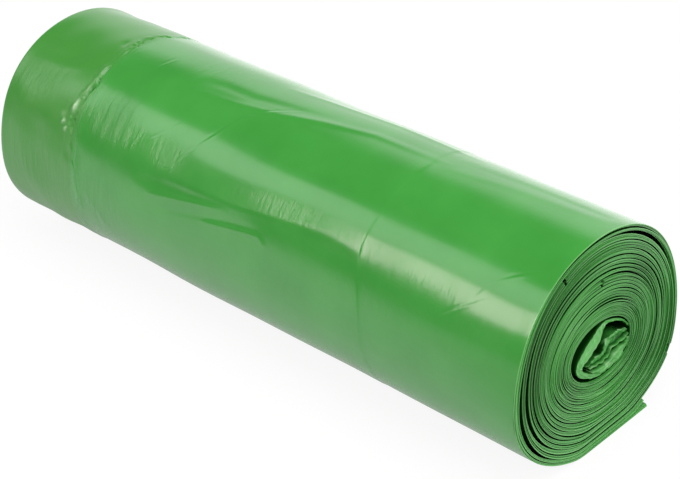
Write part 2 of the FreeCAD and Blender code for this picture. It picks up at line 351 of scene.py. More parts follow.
def glint_spots(angle, x):
    """How strong the painted highlights are, from 0 to 1: bell-shaped spots along the ring."""
    degrees = np.degrees(angle) % 360
    return sum(strength * np.exp(-((x - middle) / along) ** 2 - ((degrees - at) / around) ** 2)
               for middle, at, along, around, strength in PAINTED_GLINTS)


# Heights of the film's relief in mm: broad waves, calmer right of the fold line, fine puckers and
# waves at the far end, the ring's pinched groove, ridge, step and bunching, and the fold line.
BROAD_WAVE, BROAD_WAVE_LESS = 0.26, 0.12
PUCKER, FAR_END_WAVE = 0.07, 0.16
RING_GROOVE, RING_RIDGE, RING_STEP, RING_BUNCH = 0.75, 0.30, 0.16, 0.15
FOLD_STEP, FOLD_GROOVE = 0.12, 0.04
HAIR_SLOPE = 1.65
RIM_REACH = 10.0


def relief(angle, x):
    """How far the outer film stands out or dips: the gathered ring, the stepped fold line, folds
    and hair creases, fine puckers that run round the roll, and a broad unevenness. A groove or a
    ridge is a bell curve over the distance from its line, and a step is a tanh that fades out. All
    of it is flattened under the roll and at its two ends."""
    rng = np.random.default_rng(11)
    degrees = np.degrees(angle) % 360
    right = 1 / (1 + np.exp(-(x - FOLD_PLACE) / 6))
    out = (BROAD_WAVE - BROAD_WAVE_LESS * right) * waves(rng, angle, x, 12, 7, 70)
    out = out + PUCKER * puckering(angle, x) * waves(rng, angle, x, 16, 14, 3.0)
    far_side = 1 / (1 + np.exp((x - RING_PLACE) / 3))
    out = out + FAR_END_WAVE * far_side * waves(rng, angle, x, 12, 12, 20)

    off = x - RING_PLACE - np.interp(degrees, RING_ANGLES, RING_LEANS)
    off = off + np.interp(degrees, RING_STEPS, RING_JAGS)
    strength = 0.15 + 0.85 * bell(degrees - 114, 34)
    pinches = np.interp(degrees, RING_STEPS, RING_PINCHES)
    out = out - RING_GROOVE * strength * pinches * bell(off, 0.7)
    out = out + RING_RIDGE * strength * pinches * bell(off + 2.0, 1.4)
    out = out - RING_STEP * np.tanh(off / 2) * np.exp(-np.abs(off) / 9)
    bunched = waves(rng, angle * 4, x, 8, 9, 24)
    out = out + RING_BUNCH * strength * bunched * bell(off, 8)

    off = x - FOLD_PLACE - np.interp(degrees, FOLD_ANGLES, FOLD_LEANS)
    out = out - FOLD_STEP * np.tanh(off / 1.2) * np.exp(-np.abs(off) / 26)
    out = out - FOLD_GROOVE * bell(off, 0.8)
    for height, width, line in FOLDS:
        off, near = crease_line(angle, x, line)
        out = out + height * near * bell(off, width)
    for height, width, line in HAIR_CREASES:
        off, near = crease_line(angle, x, line)
        out = out + HAIR_SLOPE * height * near * off / width * bell(off, width)
    flat = 1 - swell(angle, 267, 48)
    rim = np.clip((HALF_LENGTH - np.abs(x)) / RIM_REACH, 0, 1)
    return out * flat * rim * rim * (3 - 2 * rim)


# The torn nicks of the perforation: the direction in degrees and the turns in from the outer end.
NICKS = [(112, 1), (86, 5), (327, 1)]
NICK_HALF, NICK_DEPTH = 0.65, 4.0
OUTER_RADIUS, TURN_PITCH = 52, 3.8
PLAIN_RECESS, SLOW_RECESS = 0.55, 0.22


def nick_places():
    """The winding angle and the radius in mm of each nick."""
    return [(LAST_DOWN + math.radians(degrees - 270) - TURN * turns_in,
             OUTER_RADIUS - TURN_PITCH * turns_in) for degrees, turns_in in NICKS]


def ply_recess(psi, ply):
    """How far one ply's cut edge lies in from the open end: slow waves, different for each ply, and
    the torn nicks of the perforation."""
    rng = np.random.default_rng(40 + ply)
    slow = sum(np.cos(psi * rng.uniform(0.3, 2.2) + rng.uniform(0, TURN)) for _ in range(5))
    recess = PLAIN_RECESS + SLOW_RECESS * slow
    for centre, radius in nick_places():
        recess = recess + NICK_DEPTH * (np.abs(psi - centre) * radius < NICK_HALF)
    return np.maximum(recess, 0)


# Each leaf's cut edge has plies of falling paleness, rounded and wandering by a share of a ply's
# thickness, with grooves between them. The grooves and each ply's lower part get painted shade, and
# so do the faces between the leaves, less of it within the open reach of the loose end.
PLIES = 3
PLY_TINTS = (1.0, 0.75, 0.55)
PLY_LOWER_TINT, PLY_LOWER_SHADE = 0.35, 0.2
PLY_ROUND, PLY_WANDER, SLIT_WANDER = 0.17, 0.22, 0.14
GROOVE, GROOVE_SHADE = 0.9, 0.65
OPEN_REACH = math.radians(36)


def wander(psi, seed):
    """A slow random value along the winding, about -1 to 1: a mean of five cosines."""
    rng = np.random.default_rng(seed)
    return sum(np.cos(psi * rng.uniform(0.4, 2.6) + rng.uniform(0, TURN)) for _ in range(5)) / 2.2


def edge_tones(psi):
    """How the cut edges' tone goes round the roll, as humps over the direction and over the turns:
    the painted shade on the lower part of a ply, most where the turns lie apart; the low side,
    which gets less painted shade and a paler tint as painted light; and how pale the edges are."""
    turns_in = (OUTER_END - psi) / TURN
    edge_shade = swell(psi, 146, 80) * outer_share(psi, 3.5) * np.clip(3 * turns_in - 2.4, 0, 1)
    edge_shade = edge_shade + 0.40 * swell(psi, 325, 45)
    edge_shade = edge_shade + 0.6 * swell(psi, 40, 32) * bell(turns_in - 4.2, 0.8)
    # The low side is painted lighter: less painted shade and more paleness below.
    low = swell(psi, 255, 105)
    pale = 0.85 + 0.2 * wander(psi * 2, 3) + 0.6 * low
    pale = pale + 0.7 * swell(psi, 122, 38) * bell(turns_in - 8.4, 1.3)
    return edge_shade[:, None], low[:, None], np.clip(pale, 0.3, 1.7)[:, None]


def band_mesh(name, psi, outer, back, inner, covered, uneven):
    """Film wound along the angles psi, as one closed line of the section carried along them.

    The line goes out along the outer leaf's outer face at the places in outer, and back inside the
    leaf at those in back. Where inner gives places too, it goes on along the inner leaf, out and
    back, and round the fold at the far end. At the open end it goes over the cut edges of the
    plies, which wander in thickness, with a groove between them. Faces that show only through gaps
    get painted shade, the outer one where covered is 1, and so do the grooves and each ply's lower
    part. uneven gives the outward shift at an angle and a place along."""
    ply = LEAF / PLIES
    rows = np.zeros((len(psi), 1))
    slit_shift = covered * SLIT_WANDER * wander(psi, 90)[:, None]
    # The edge tones carry painted shade and painted light into the shades and tints below.
    edge_shade, low, fading = edge_tones(psi)
    # The last of each part is its share of painted shade.
    parts = []        # places along, heights in the band, pale tints, recesses, hidden shares

    def add_face(places, height, ply_at_end, tint, hidden):
        """A run along one face of a leaf; its point at the open end follows one ply's recess."""
        at_end = places > HALF_LENGTH - 0.3
        recess = np.where(places > HALF_LENGTH - 0.9, ply_recess(psi, ply_at_end)[:, None], 0.0)
        shade = np.where(at_end, 0.25 * hidden, hidden)
        parts.append((places, height + 0 * places, np.where(at_end, tint, 0.0), recess, shade))

    def add_edge(top, bottom, first):
        """The cut edge of one leaf, ply by ply from the top down. Each ply gets painted shade
        below, most of all where the turns lie apart, and the grooves between the plies get painted
        shade too."""
        end = np.full(2, HALF_LENGTH)
        for k in range(PLIES):
            upper, lower = (top + (bottom - top) * at / PLIES + rows for at in (k, k + 1))
            upper = upper + PLY_WANDER * ply * wander(psi, first + k)[:, None] * (k > 0)
            lower = lower + PLY_WANDER * ply * wander(psi, first + k + 1)[:, None] * (k < PLIES - 1)
            heights = np.concatenate([upper - PLY_ROUND * ply, lower + PLY_ROUND * ply], axis=1)
            own = ply_recess(psi, first + k)[:, None]
            tints = PLY_TINTS[k] * np.array([1.0, PLY_LOWER_TINT])
            shades = np.array([0.0, PLY_LOWER_SHADE]) * (1 - low)
            shades = shades + edge_shade * np.array([0.7 if k else 0.15, 1.0])
            parts.append((end, heights, tints, own + 0 * heights, shades))
            if k < PLIES - 1:
                parts.append((end[:1], lower, np.zeros(1), own + GROOVE, np.full(1, GROOVE_SHADE)))

    add_face(outer, BAND + rows, 0, 1.0, covered)
    if outer[-1] == HALF_LENGTH:
        add_edge(BAND, LEAF + SLIT + slit_shift, 0)
    add_face(back[::-1], LEAF + SLIT + slit_shift + rows, PLIES - 1, 0.5, 1.0)
    if inner is not None:
        add_face(inner, LEAF + slit_shift + rows, PLIES, 1.0, 1.0)
        add_edge(LEAF + slit_shift, 0, PLIES)
        add_face(inner[::-1], rows, 2 * PLIES - 1, 0.5, 1.0)
        turn = np.linspace(0, math.pi, 9)[1:-1]
        around_fold = -HALF_LENGTH + FOLD_DEPTH * (1 - np.sin(turn))
        fold_height = BAND / 2 * (1 - np.cos(turn)) + rows
        parts.append((around_fold, fold_height, 0 * turn, rows + 0 * turn, 0 * turn))

    column, tint = (np.concatenate([part[k] for part in parts]) for k in (0, 2))
    height, recess, hidden = (
        np.concatenate([rows + part[k] + 0 * part[0] for part in parts], axis=1) for k in (1, 3, 4))
    angle = psi[:, None]
    x = column[None, :] + lean(angle, column[None, :]) - recess
    y, z = band_point(angle + 0 * x, height)
    shift = uneven(angle, x)
    y = y + shift * np.cos(angle)
    z = np.maximum(z + shift * np.sin(angle), 0)
    on_top = height == BAND
    enclosed = np.clip((OUTER_END - psi) / OPEN_REACH, 0.1, 1)[:, None]
    return grid_piece(name, np.stack([x, y, z], axis=-1), 48, cut_edge=tint[None, :] * fading,
                      puckered=puckering(angle, x) * on_top,
                      stretched=glint_spots(angle, x) * on_top,
                      milky=np.clip((RING_PLACE + 1 - x) / 4, 0, 1) * on_top,
                      hidden=np.clip(hidden, 0, 1) * enclosed)


def grid_piece(name, points, sharp_degrees, **values):
    """A closed tube of quads from rows of section points in mm, with a flat face at each end.

    values become attributes of the points, for the film's material. The section is turned round
    where the faces would look inward, which the sign of the volume tells."""
    rows, around = points.shape[:2]
    a, b = points[:-1], points[1:]
    faces = np.cross(np.roll(a, -1, 1) - a, b - a)
    if np.sum(faces * (a - points.mean(axis=(0, 1)))) < 0:
        points, values = points[:, ::-1], {key: value[:, ::-1] for key, value in values.items()}
    index = np.arange(rows * around).reshape(rows, around)
    here, there = index[:-1], index[1:]
    quads = np.stack([here, np.roll(here, -1, 1), np.roll(there, -1, 1), there], axis=-1)
    quads = quads.reshape(-1, 4)
    ends = [index[0][::-1].tolist(), index[-1].tolist()]
    mesh = bpy.data.meshes.new(name)
    mesh.from_pydata(points.reshape(-1, 3) * MM, [], quads.tolist() + ends)
    for key, value in values.items():
        attribute = mesh.attributes.new(key, "FLOAT", "POINT")
        attribute.data.foreach_set("value", np.asarray(value, dtype=np.float32).reshape(-1))
    mesh.validate()
    mesh.shade_smooth()
    mesh.set_sharp_from_angle(angle=math.radians(sharp_degrees))
    piece = bpy.data.objects.new(name, mesh)
    bpy.context.scene.collection.objects.link(piece)
    return piece


def empty_tree(owner):
    """The node tree of a material or a world, with nothing in it."""
    owner.use_nodes = True
    owner.node_tree.nodes.clear()
    return owner.node_tree


def add_node(tree, kind, **settings):
    """A new node in a tree. Settings that start with a capital are its inputs, and the others its
    own properties."""
    made = tree.nodes.new(kind)
    for key, value in settings.items():
        if key[0].isupper():
            made.inputs[key.replace("_", " ")].default_value = value
        else:
            setattr(made, key, value)
    return made


def join(tree, *links):
    """Links in a tree, each as (node, its output, the node it goes to, that node's input)."""
    for source, output, target, entry in links:
        tree.links.new(source.outputs[output], target.inputs[entry])


def add_math(tree, operation, *values):
    """A math node of values that are each a number or a (node, output)."""
    made = add_node(tree, "ShaderNodeMath", operation=operation)
    for entry, value in enumerate(values):
        if isinstance(value, tuple):
            join(tree, (*value, made, entry))
        else:
            made.inputs[entry].default_value = value
    return made


def add_ramp(tree, value, low, high, at_low, at_high, kind="LINEAR"):
    """A map range node of a (node, output): at_low up to low, and at_high from high on."""
    made = add_node(tree, "ShaderNodeMapRange", interpolation_type=kind, From_Min=low,
                    From_Max=high, To_Min=at_low, To_Max=at_high)
    join(tree, (*value, made, "Value"))
    return made


# The film's greens, cloudy between two. An attribute mixes in each tone: pale cut edges, the duller
# far end, painted glints, and painted shade, a near black for faces that show only through gaps and
# for the crushed film's holes.
FILM_GREENS = [(0.050, 0.350, 0.046, 1), (0.066, 0.410, 0.060, 1)]
FILM_TONES = [("cut_edge", (0.22, 0.66, 0.19, 1)), ("milky", (0.062, 0.340, 0.042, 1)),
              ("stretched", (0.58, 0.84, 0.50, 1)), ("hidden", (0.004, 0.036, 0.004, 1))]
FILM_IOR = 1.7
SHINE, PAINTED_SHADE_SHINE = 0.5, 0.03
SMOOTHEST, ROUGHEST = 0.13, 0.25
ROUGHER = [("puckered", 0.12), ("milky", 0.13)]
CLOUD_SCALE, ROUGHNESS_SCALE = 28, 60
WRINKLE_SCALE = (620, 85, 85)
FAINT_WRINKLES, STRONG_WRINKLES = 0.10, 0.8


def film_material(name, wrinkle_height):
    """Glossy green polythene: a cloudy green with each tone mixed in by its attribute, a roughness
    that a noise varies and some attributes raise, and a bump from a noise drawn out round the roll,
    which is stronger where the film is puckered."""
    material = bpy.data.materials.new(name)
    tree = empty_tree(material)
    output = add_node(tree, "ShaderNodeOutputMaterial")
    shader = add_node(tree, "ShaderNodeBsdfPrincipled", IOR=FILM_IOR)
    place = add_node(tree, "ShaderNodeTexCoord")
    marks = {key: (add_node(tree, "ShaderNodeAttribute", attribute_name=key), "Fac")
             for key in ("cut_edge", "milky", "stretched", "hidden", "puckered")}

    cloud = add_node(tree, "ShaderNodeTexNoise", Scale=CLOUD_SCALE, Detail=4)
    greens = add_node(tree, "ShaderNodeValToRGB")
    for stop, at, green in zip(greens.color_ramp.elements, (0.3, 0.7), FILM_GREENS):
        stop.position, stop.color = at, green
    join(tree, (place, "Object", cloud, "Vector"), (cloud, "Fac", greens, "Fac"))
    colour = (greens, "Color")
    for key, tone in FILM_TONES:
        mixed = add_node(tree, "ShaderNodeMix", data_type="RGBA", B=tone)
        join(tree, (*marks[key], mixed, "Factor"), (*colour, mixed, "A"))
        colour = (mixed, "Result")
    # Painted shade also takes the film's shine away, so that it reads as deep shadow.
    shine = add_ramp(tree, marks["hidden"], 0, 1, SHINE, PAINTED_SHADE_SHINE)
    join(tree, (*colour, shader, "Base Color"), (shine, "Result", shader, "Specular IOR Level"))

    uneven = add_node(tree, "ShaderNodeTexNoise", Scale=ROUGHNESS_SCALE, Detail=3)
    join(tree, (place, "Object", uneven, "Vector"))
    roughness = (add_ramp(tree, (uneven, "Fac"), 0, 1, SMOOTHEST, ROUGHEST), "Result")
    for key, more in ROUGHER:
        roughness = (add_math(tree, "MULTIPLY_ADD", marks[key], more, roughness), "Value")
    join(tree, (*roughness, shader, "Roughness"))

    drawn_out = add_node(tree, "ShaderNodeMapping", Scale=WRINKLE_SCALE)
    wrinkles = add_node(tree, "ShaderNodeTexNoise", Scale=1, Detail=4, Roughness=0.6)
    strength = add_ramp(tree, marks["puckered"], 0, 1, FAINT_WRINKLES, STRONG_WRINKLES)
    bump = add_node(tree, "ShaderNodeBump", Distance=wrinkle_height)
    join(tree, (place, "Object", drawn_out, "Vector"), (drawn_out, "Vector", wrinkles, "Vector"),
         (strength, "Result", bump, "Strength"), (wrinkles, "Fac", bump, "Height"),
         (bump, "Normal", shader, "Normal"), (shader, "BSDF", output, "Surface"))
    return material


# Where the lower leaf of the loose end comes down to the table, and where it ends.
TOUCH_Y = float(free_point(np.full(1, TOUCH), BAND)[0][0])
TAIL_Y = float(free_point(np.full(1, OUTER_END), LEAF)[0][0]) + TAIL_STEP

# The mesh is finest on the creased side. The film is divided at the ring and at the fold line,
# where a crease hides the joint, and all three lengths share the same angles.
outer_psi = 8 * TURN + np.radians(np.concatenate([
    np.linspace(-62, 40, 36, endpoint=False), np.linspace(40, 210, 265, endpoint=False),
    np.linspace(210, 298, 40)]))
FAR_FACE = -HALF_LENGTH + FOLD_DEPTH
full_back = np.array([FAR_FACE, -165, -60, 60, 150, 171, 173.5, 174.4, HALF_LENGTH])
far_outer = np.concatenate([np.linspace(FAR_FACE, -120, 66), np.linspace(-119.5, RING_PLACE, 9)])
middle_outer = np.concatenate([np.linspace(RING_PLACE, -112, 10), np.linspace(-111.3, 76, 236),
                               np.linspace(76.5, FOLD_PLACE, 6)])
near_outer = np.concatenate([np.linspace(FOLD_PLACE, 82, 7), np.linspace(82.7, 173, 110),
                             np.array([174, 174.4, HALF_LENGTH])])
outer_film = film_material("glossy_film", wrinkle_height=0.0005)
lengths = [
    ("outer_bag_far", far_outer, np.array([FAR_FACE, -150, RING_PLACE]), full_back),
    ("outer_bag_middle", middle_outer, np.array([RING_PLACE, -50, 20, FOLD_PLACE]), None),
    ("outer_bag_near", near_outer, np.array([FOLD_PLACE, 120, 165, 173, 174.4, HALF_LENGTH]), None),
]
for name, outer, back, inner in lengths:
    outer_bag = band_mesh(name, outer_psi, outer, back, inner, 0.0, relief)
    outer_bag.data.materials.append(outer_film)
    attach(outer_bag, "root")
    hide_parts("bag_roll")

# ---------------------------------------------------------------- wound turns
# Under the last bag the strip goes on inwards, turn on turn, tight near the middle and looser
# outside. At the open end the cut edges of its plies show as fine pale lines, with gaps between the
# turns whose faces get painted shade.

# Extra angles at a nick's sides keep them steep.
nick_sides = [centre + side * (NICK_HALF / radius) for centre, radius in nick_places()
              for side in (-1.1, -0.98, 0.98, 1.1)]
nick_sides = [angle for angle in nick_sides if angle < OUTER_END - TURN]
wound_psi = np.arange(OUTER_END - FINE_TURNS * TURN, OUTER_END - TURN, TURN / 96)
wound_psi = np.sort(np.concatenate([wound_psi, nick_sides, [OUTER_END - TURN]]))
wound_places = np.array([FAR_FACE, -171, -160, -60, 60, 160, 171, 173.5, 174.4, HALF_LENGTH])
SHAKE = 0.06
SUNK, SUNK_LESS = 2.0, 0.3


def wound_uneven(angle, x):
    """Turns that lie a little unevenly, by a sum of six cosines, and sink clear of the creased film
    between the two ends: the outer ones most, and each turn further in less."""
    rng = np.random.default_rng(23)
    shake = sum(np.cos(angle * rng.uniform(0.6, 3.3) + rng.uniform(0, TURN)) for _ in range(6))
    middle = np.clip((HALF_LENGTH - 8 - np.abs(x)) / 30, 0, 1)
    sunk = np.maximum(SUNK - SUNK_LESS * (OUTER_END - angle) / TURN, 0) * middle
    return SHAKE * closeness(angle) * shake - sunk * (1 - swell(angle, 270, 60))


wound_turns = band_mesh("wound_turns", wound_psi, wound_places, wound_places, wound_places, 1.0,
                        wound_uneven)
wound_turns.data.materials.append(film_material("wound_film", wrinkle_height=0.0003))
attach(wound_turns, "root")
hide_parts("bag_roll")

# ---------------------------------------------------------------- crumpled start
# The first length of the strip was bunched in the hand before winding. A pad of its plies lines the
# left of the hollow, and the rest is crushed beside it, with shiny facets, sharp folds and holes
# made black with painted shade.

# Folds and valleys of the crushed film, from the upper left to the lower right. Places are in mm in
# the hollow's own plane: (along, across, depth in from the end).
RIM_A = [(19.4, 1.6, 2.8), (16.4, 1.8, 2.8), (11.6, 3.0, 2.3), (7.8, 3.0, 2.0), (5.9, 1.2, 2.2),
         (4.3, -1.9, 2.5), (2.9, -5.5, 3.0), (-1.9, -6.2, 3.2), (-7.4, -6.9, 2.4)]
VALLEY = [(20.0, 1.0, 2.6), (18.0, -0.3, 3.2), (15.2, -0.4, 3.5), (13.2, -1.6, 4.0),
          (11.6, -3.2, 4.2), (8.5, -4.8, 4.0), (6.3, -7.6, 4.2), (1.8, -8.2, 4.0),
          (-4.7, -8.6, 3.0)]
RIM_B = [(19.9, -0.1, 1.2), (18.6, -2.1, 1.4), (16.2, -2.6, 1.6), (13.9, -3.1, 1.8),
         (12.0, -4.3, 2.0), (9.4, -5.6, 2.2), (6.7, -8.0, 2.4), (1.9, -8.9, 2.2),
         (-4.9, -9.2, 1.8)]
RIM_C = [(20.0, -1.6, 0.6), (18.4, -3.7, 0.6), (16.2, -4.5, 0.7), (13.3, -5.0, 0.6),
         (11.6, -6.3, 0.6), (8.8, -8.0, 0.8), (6.0, -9.7, 0.8), (1.0, -10.2, 0.8),
         (-4.5, -10.5, 0.8)]
BUNCH = [(20.4, -3.4, 0.9), (19.2, -5.6, 1.0), (17.4, -7.0, 1.4), (15.0, -7.9, 0.4),
         (12.6, -9.2, 0.3), (9.8, -10.9, 1.5), (5.3, -11.4, 0.2), (0.8, -12.0, 1.2),
         (-5.1, -11.4, 0.7)]
OUTSIDE = [(21.0, -4.4, 0.8), (20.2, -6.6, 1.2), (18.4, -8.4, 1.6), (16.0, -9.8, 1.2),
           (13.4, -11.1, 1.4), (10.0, -12.4, 1.0), (5.5, -13.6, 1.3), (0.0, -13.8, 0.9),
           (-6.2, -12.9, 0.8)]
# How much painted shade the holes under the first fold get, along it.
PIT_SHADES = [1.0, 1.0, 0.5, 0.15, 0.6, 1.0, 1.0, 0.7, 0.5]
# The pad's middle line in the same plane, and its half thickness along it.
PAD = [(18.1, 4.2), (14.2, 8.1), (9.0, 10.8), (4.0, 12.0), (0.8, 12.0), (-1.6, 10.2), (-3.4, 7.5),
       (-6.0, 5.0), (-8.8, 2.6), (-11.8, 0.2), (-14.2, -2.4), (-14.9, -5.2), (-12.6, -8.0),
       (-6.4, -11.2), (0.0, -12.6)]
PAD_HALF = [0.4, 0.45, 0.45, 0.5, 0.7, 1.5, 2.4, 2.9, 2.9, 2.5, 1.9, 1.6, 1.5, 1.1, 0.6]
PLUG_DEPTH = 40.0
# The finer crumple of the crushed film: rounds of zigzags, each a share as long as the one before,
# with their height and sideways shift as shares of their length.
CRUMPLE_ROUNDS, CRUMPLE_LENGTH, CRUMPLE_SHRINK = 8, 9.0, 0.8
CRUMPLE_HEIGHT, CRUMPLE_SHIFT, CRUMPLE_DEPTH = 0.09, 0.03, 0.55
# How strong the painted glints on the crumple's crests are.
GLINT_FLECKS = 0.5
# The pad's cut face: its mean depth in from the end, its slope and its plies' ridges, in mm.
FACE_DEPTH, FACE_SLOPE, RIDGE_HEIGHT = 0.55, 0.3, 0.10
RIDGES = 22


def hollow_point(along, across):
    """y and z in mm of a point in the hollow's own plane."""
    y = HOLLOW_Y + along * math.cos(HOLLOW_TILT) - across * math.sin(HOLLOW_TILT)
    z = HOLLOW_Z + along * math.sin(HOLLOW_TILT) + across * math.cos(HOLLOW_TILT)
    return y, z + AXIS_HEIGHT


def refine(net, steps, axis):
    """Points in even straight steps between the neighbouring lines of a control net."""
    last = net.shape[axis] - 1
    at = np.linspace(0, last, last * steps + 1)
    low = np.minimum(at.astype(int), last - 1)
    shape = [1] * net.ndim
    shape[axis] = -1
    share = (at - low).reshape(shape)
    return np.take(net, low, axis) * (1 - share) + np.take(net, low + 1, axis) * share


def smooth_path(points, count):
    """A smooth line through the points: each span is a cubic with the slopes of its neighbours."""
    at = np.linspace(0, len(points) - 1, count)
    low = np.minimum(at.astype(int), len(points) - 2)
    share = (at - low)[:, None]
    padded = np.vstack([2 * points[0] - points[1], points, 2 * points[-1] - points[-2]])
    p0, p1, p2, p3 = (padded[low + k] for k in range(4))
    return 0.5 * (2 * p1 + (p2 - p0) * share + (2 * p0 - 5 * p1 + 4 * p2 - p3) * share ** 2
                  + (3 * p1 - p0 - 3 * p2 + p3) * share ** 3)


def zigzag(value):
    """A triangle wave between -1 and 1 with period 1."""
    return 4 * np.abs(value - np.floor(value + 0.5)) - 1


def crushed_film(name, end, seed):
    """The crushed film at one end: a net of control lines with even straight steps between them.
    They run across it from the holes at the upper left over one fold after another to the pale
    bunch at the lower right, each wall under a fold nearly straight, and the flat facets between
    them get the finer zigzag crumple."""
    rng = np.random.default_rng(seed)
    rim_a, valley, rim_b, rim_c, bunch, outside = (
        np.array(line) for line in (RIM_A, VALLEY, RIM_B, RIM_C, BUNCH, OUTSIDE))
    step = np.array([-0.22, 0.26, 0])

    def wall(rim, fall):
        """The foot of the wall under a rim, a little to its upper left."""
        return rim + step + np.array([0, 0, 1]) * np.reshape(fall, (-1, 1))

    # Each control line with its painted shade and how pale it is.
    lines = [
        (wall(rim_a, 9) + (-4.5, 4.5, 2), 1.0, 0.0), (wall(rim_a, 6), 1.0, 0.0),
        (wall(rim_a, 2.2) - step / 3, PIT_SHADES, 0.0),
        (wall(rim_a, 0.7) - step / 2, 0.85 * np.array(PIT_SHADES), 0.0),
        (rim_a + step / 4, 0.0, 1.0), (rim_a, 0.0, 0.9),
        (0.6 * rim_a + 0.4 * valley, 0.05, 0.0), (valley, 0.25, 0.0), (wall(rim_b, 2.0), 0.85, 0.0),
        (rim_b + step / 4, 0.0, 1.0), (rim_b, 0.0, 0.7), (rim_b - step, 0.5, 0.0),
        (wall(rim_c, 2.6), 1.0, 0.0), (rim_c + step / 4, 0.0, 0.9),
        (0.5 * rim_c + 0.5 * bunch, 0.0, 0.5), (bunch, 0.0, 0.95),
        (0.5 * bunch + 0.5 * outside, 0.0, 0.5), (outside, 0.1, 0.7),
        (outside + (0, -0.3, 3.0), 1.0, 0.0), (outside + (0, 0, PLUG_DEPTH), 1.0, 0.0),
        (wall(rim_a, PLUG_DEPTH) + (-4.5, 4.5, 0), 1.0, 0.0),
    ]
    plain = np.zeros(len(rim_a))
    net = np.array([np.column_stack([line, shade + plain, pale + plain])
                    for line, shade, pale in lines])
    first, last = net[:, :1].copy(), net[:, -1:].copy()
    first[..., 2] = last[..., 2] = PLUG_DEPTH
    first[..., 3] = last[..., 3] = 1
    net = np.concatenate([first, net, last], axis=1)
    net = refine(refine(np.concatenate([net, net[:1]]), 7, 0)[:-1], 12, 1)
    along, across, depth, shade, pale = np.moveaxis(net, -1, 0)
    crumple = 0
    for k in range(CRUMPLE_ROUNDS):
        heading, length = rng.uniform(0, math.pi), CRUMPLE_LENGTH * CRUMPLE_SHRINK ** k
        run = (along * math.cos(heading) + across * math.sin(heading)) / length
        crumple = crumple + CRUMPLE_HEIGHT * length * zigzag(run + rng.uniform())
        shift = zigzag(depth / length + across / length + rng.uniform())
        along = along + CRUMPLE_SHIFT * length * shift
    reach = np.clip(depth / 2, 0.25, 1) * (depth < PLUG_DEPTH - 8)
    depth = depth + CRUMPLE_DEPTH * crumple * reach
    x = end * (HALF_LENGTH - np.maximum(depth, 0.1))
    y, z = hollow_point(along, across)
    points = np.moveaxis(np.stack([x, y, z], axis=-1), 0, 1)
    # Pale painted glints on the crests of the crumple, where the film is palest.
    glint_flecks = GLINT_FLECKS * pale ** 2 * np.clip(crumple - 0.2, 0, 1)
    return grid_piece(name, points, 30, cut_edge=0.8 * pale.T ** 2, hidden=shade.T,
                      puckered=np.full(pale.T.shape, 0.3), stretched=glint_flecks.T)


def ply_pad():
    """The pad of plies: a smooth line in the hollow, carried from end to end of the roll. Its face
    at each end slopes in towards the hole and shows the plies as low ridges."""
    path = smooth_path(np.column_stack([PAD, PAD_HALF]), 220)
    middle, half = path[:, :2], path[:, 2:]
    run = np.gradient(middle, axis=0)
    run = run / np.linalg.norm(run, axis=1, keepdims=True)
    outward = np.column_stack([run[:, 1], -run[:, 0]])
    outward = outward * np.sign(np.sum(outward * middle, axis=1).mean())
    face = np.linspace(1, -1, 17)
    t = np.linspace(0, 1, len(path))[:, None]
    face_depth = FACE_DEPTH + FACE_SLOPE * face + RIDGE_HEIGHT * np.cos(face * RIDGES) + 0 * t
    face_depth = face_depth + 0.12 * np.cos(t * 40 + 3 * face) + 0.10 * np.cos(t * 95 + 2 * face)
    face_pale = 0.45 + 0.2 * np.cos(face * RIDGES + 1.5) + 0 * t
    places = np.concatenate([[1, 1, 1], face, [-1, -1, -1]])
    depth = np.concatenate([[5, 2.2, 1.2] + 0 * t, face_depth, face_depth[:, -1:] + 0.7,
                            [4, 6] + 0 * t], axis=1)
    # The pad's sides and the rims of its face get painted shade.
    rim_shade = np.where(np.abs(face) > 0.99, 0.15, 0.0)
    shade = np.concatenate([[1, 1, 0.8], rim_shade, [0.7, 1, 1]]) + 0 * t
    pale = np.concatenate([[0, 0, 0] + 0 * t, face_pale, [0.2, 0, 0] + 0 * t], axis=1)
    offset = np.concatenate([places, places[::-1]])[None, :] * half
    x = np.concatenate([HALF_LENGTH - depth, -HALF_LENGTH + depth[:, ::-1]], axis=1)
    along = middle[:, :1] + offset * outward[:, :1]
    across = middle[:, 1:] + offset * outward[:, 1:]
    y, z = hollow_point(along, across)
    both = [np.concatenate([value, value[:, ::-1]], axis=1) for value in (pale, shade)]
    return grid_piece("ply_pad", np.stack([x, y, z], axis=-1), 40, cut_edge=both[0], hidden=both[1],
                      puckered=0 * x + 0.3)


crumpled_film = film_material("crumpled_film", wrinkle_height=0.0004)
for crumpled in (ply_pad(), crushed_film("crushed_near", end=1, seed=5),
                 crushed_film("crushed_far", end=-1, seed=8)):
    crumpled.data.materials.append(crumpled_film)
    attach(crumpled, "root")
    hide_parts("bag_roll")

# ---------------------------------------------------------------- studio
# A plain pale floor, a white surround, and soft boxes at the left, overhead and in front. The film
# mirrors a darker floor and surround than the camera sees, so that its sides and folds show.
FLOOR = 6.0
FLOOR_COLOUR = (0.62, 0.62, 0.62, 1)
GLOW_SHARE, GLOW_SEEN = 0.8, 1.12
# What the film mirrors, each as a ramp: its start, its end, and the levels there. On the floor, in
# m: along y the glow falls towards the roll, a painted shadow of the roll in what the film mirrors,
# and rises behind it, and away from the camera it starts only a little in front of the roll. In the
# surround, by how far y passes z in its direction.
NEAR_GLOW = (-0.085, -0.02, 1.12, 0.5)
BACK_GLOW = (0.12, 0.18, 0.0, 1.3)
FRONT_EDGE = (-0.185, -0.145, 0.05, 1.0)
AWAY = (-0.746, 0.666, 0)
BACKDROP = (-0.15, 0.25, 0.09, 1.5)
SURROUND, FILL = 1.0, 0.44

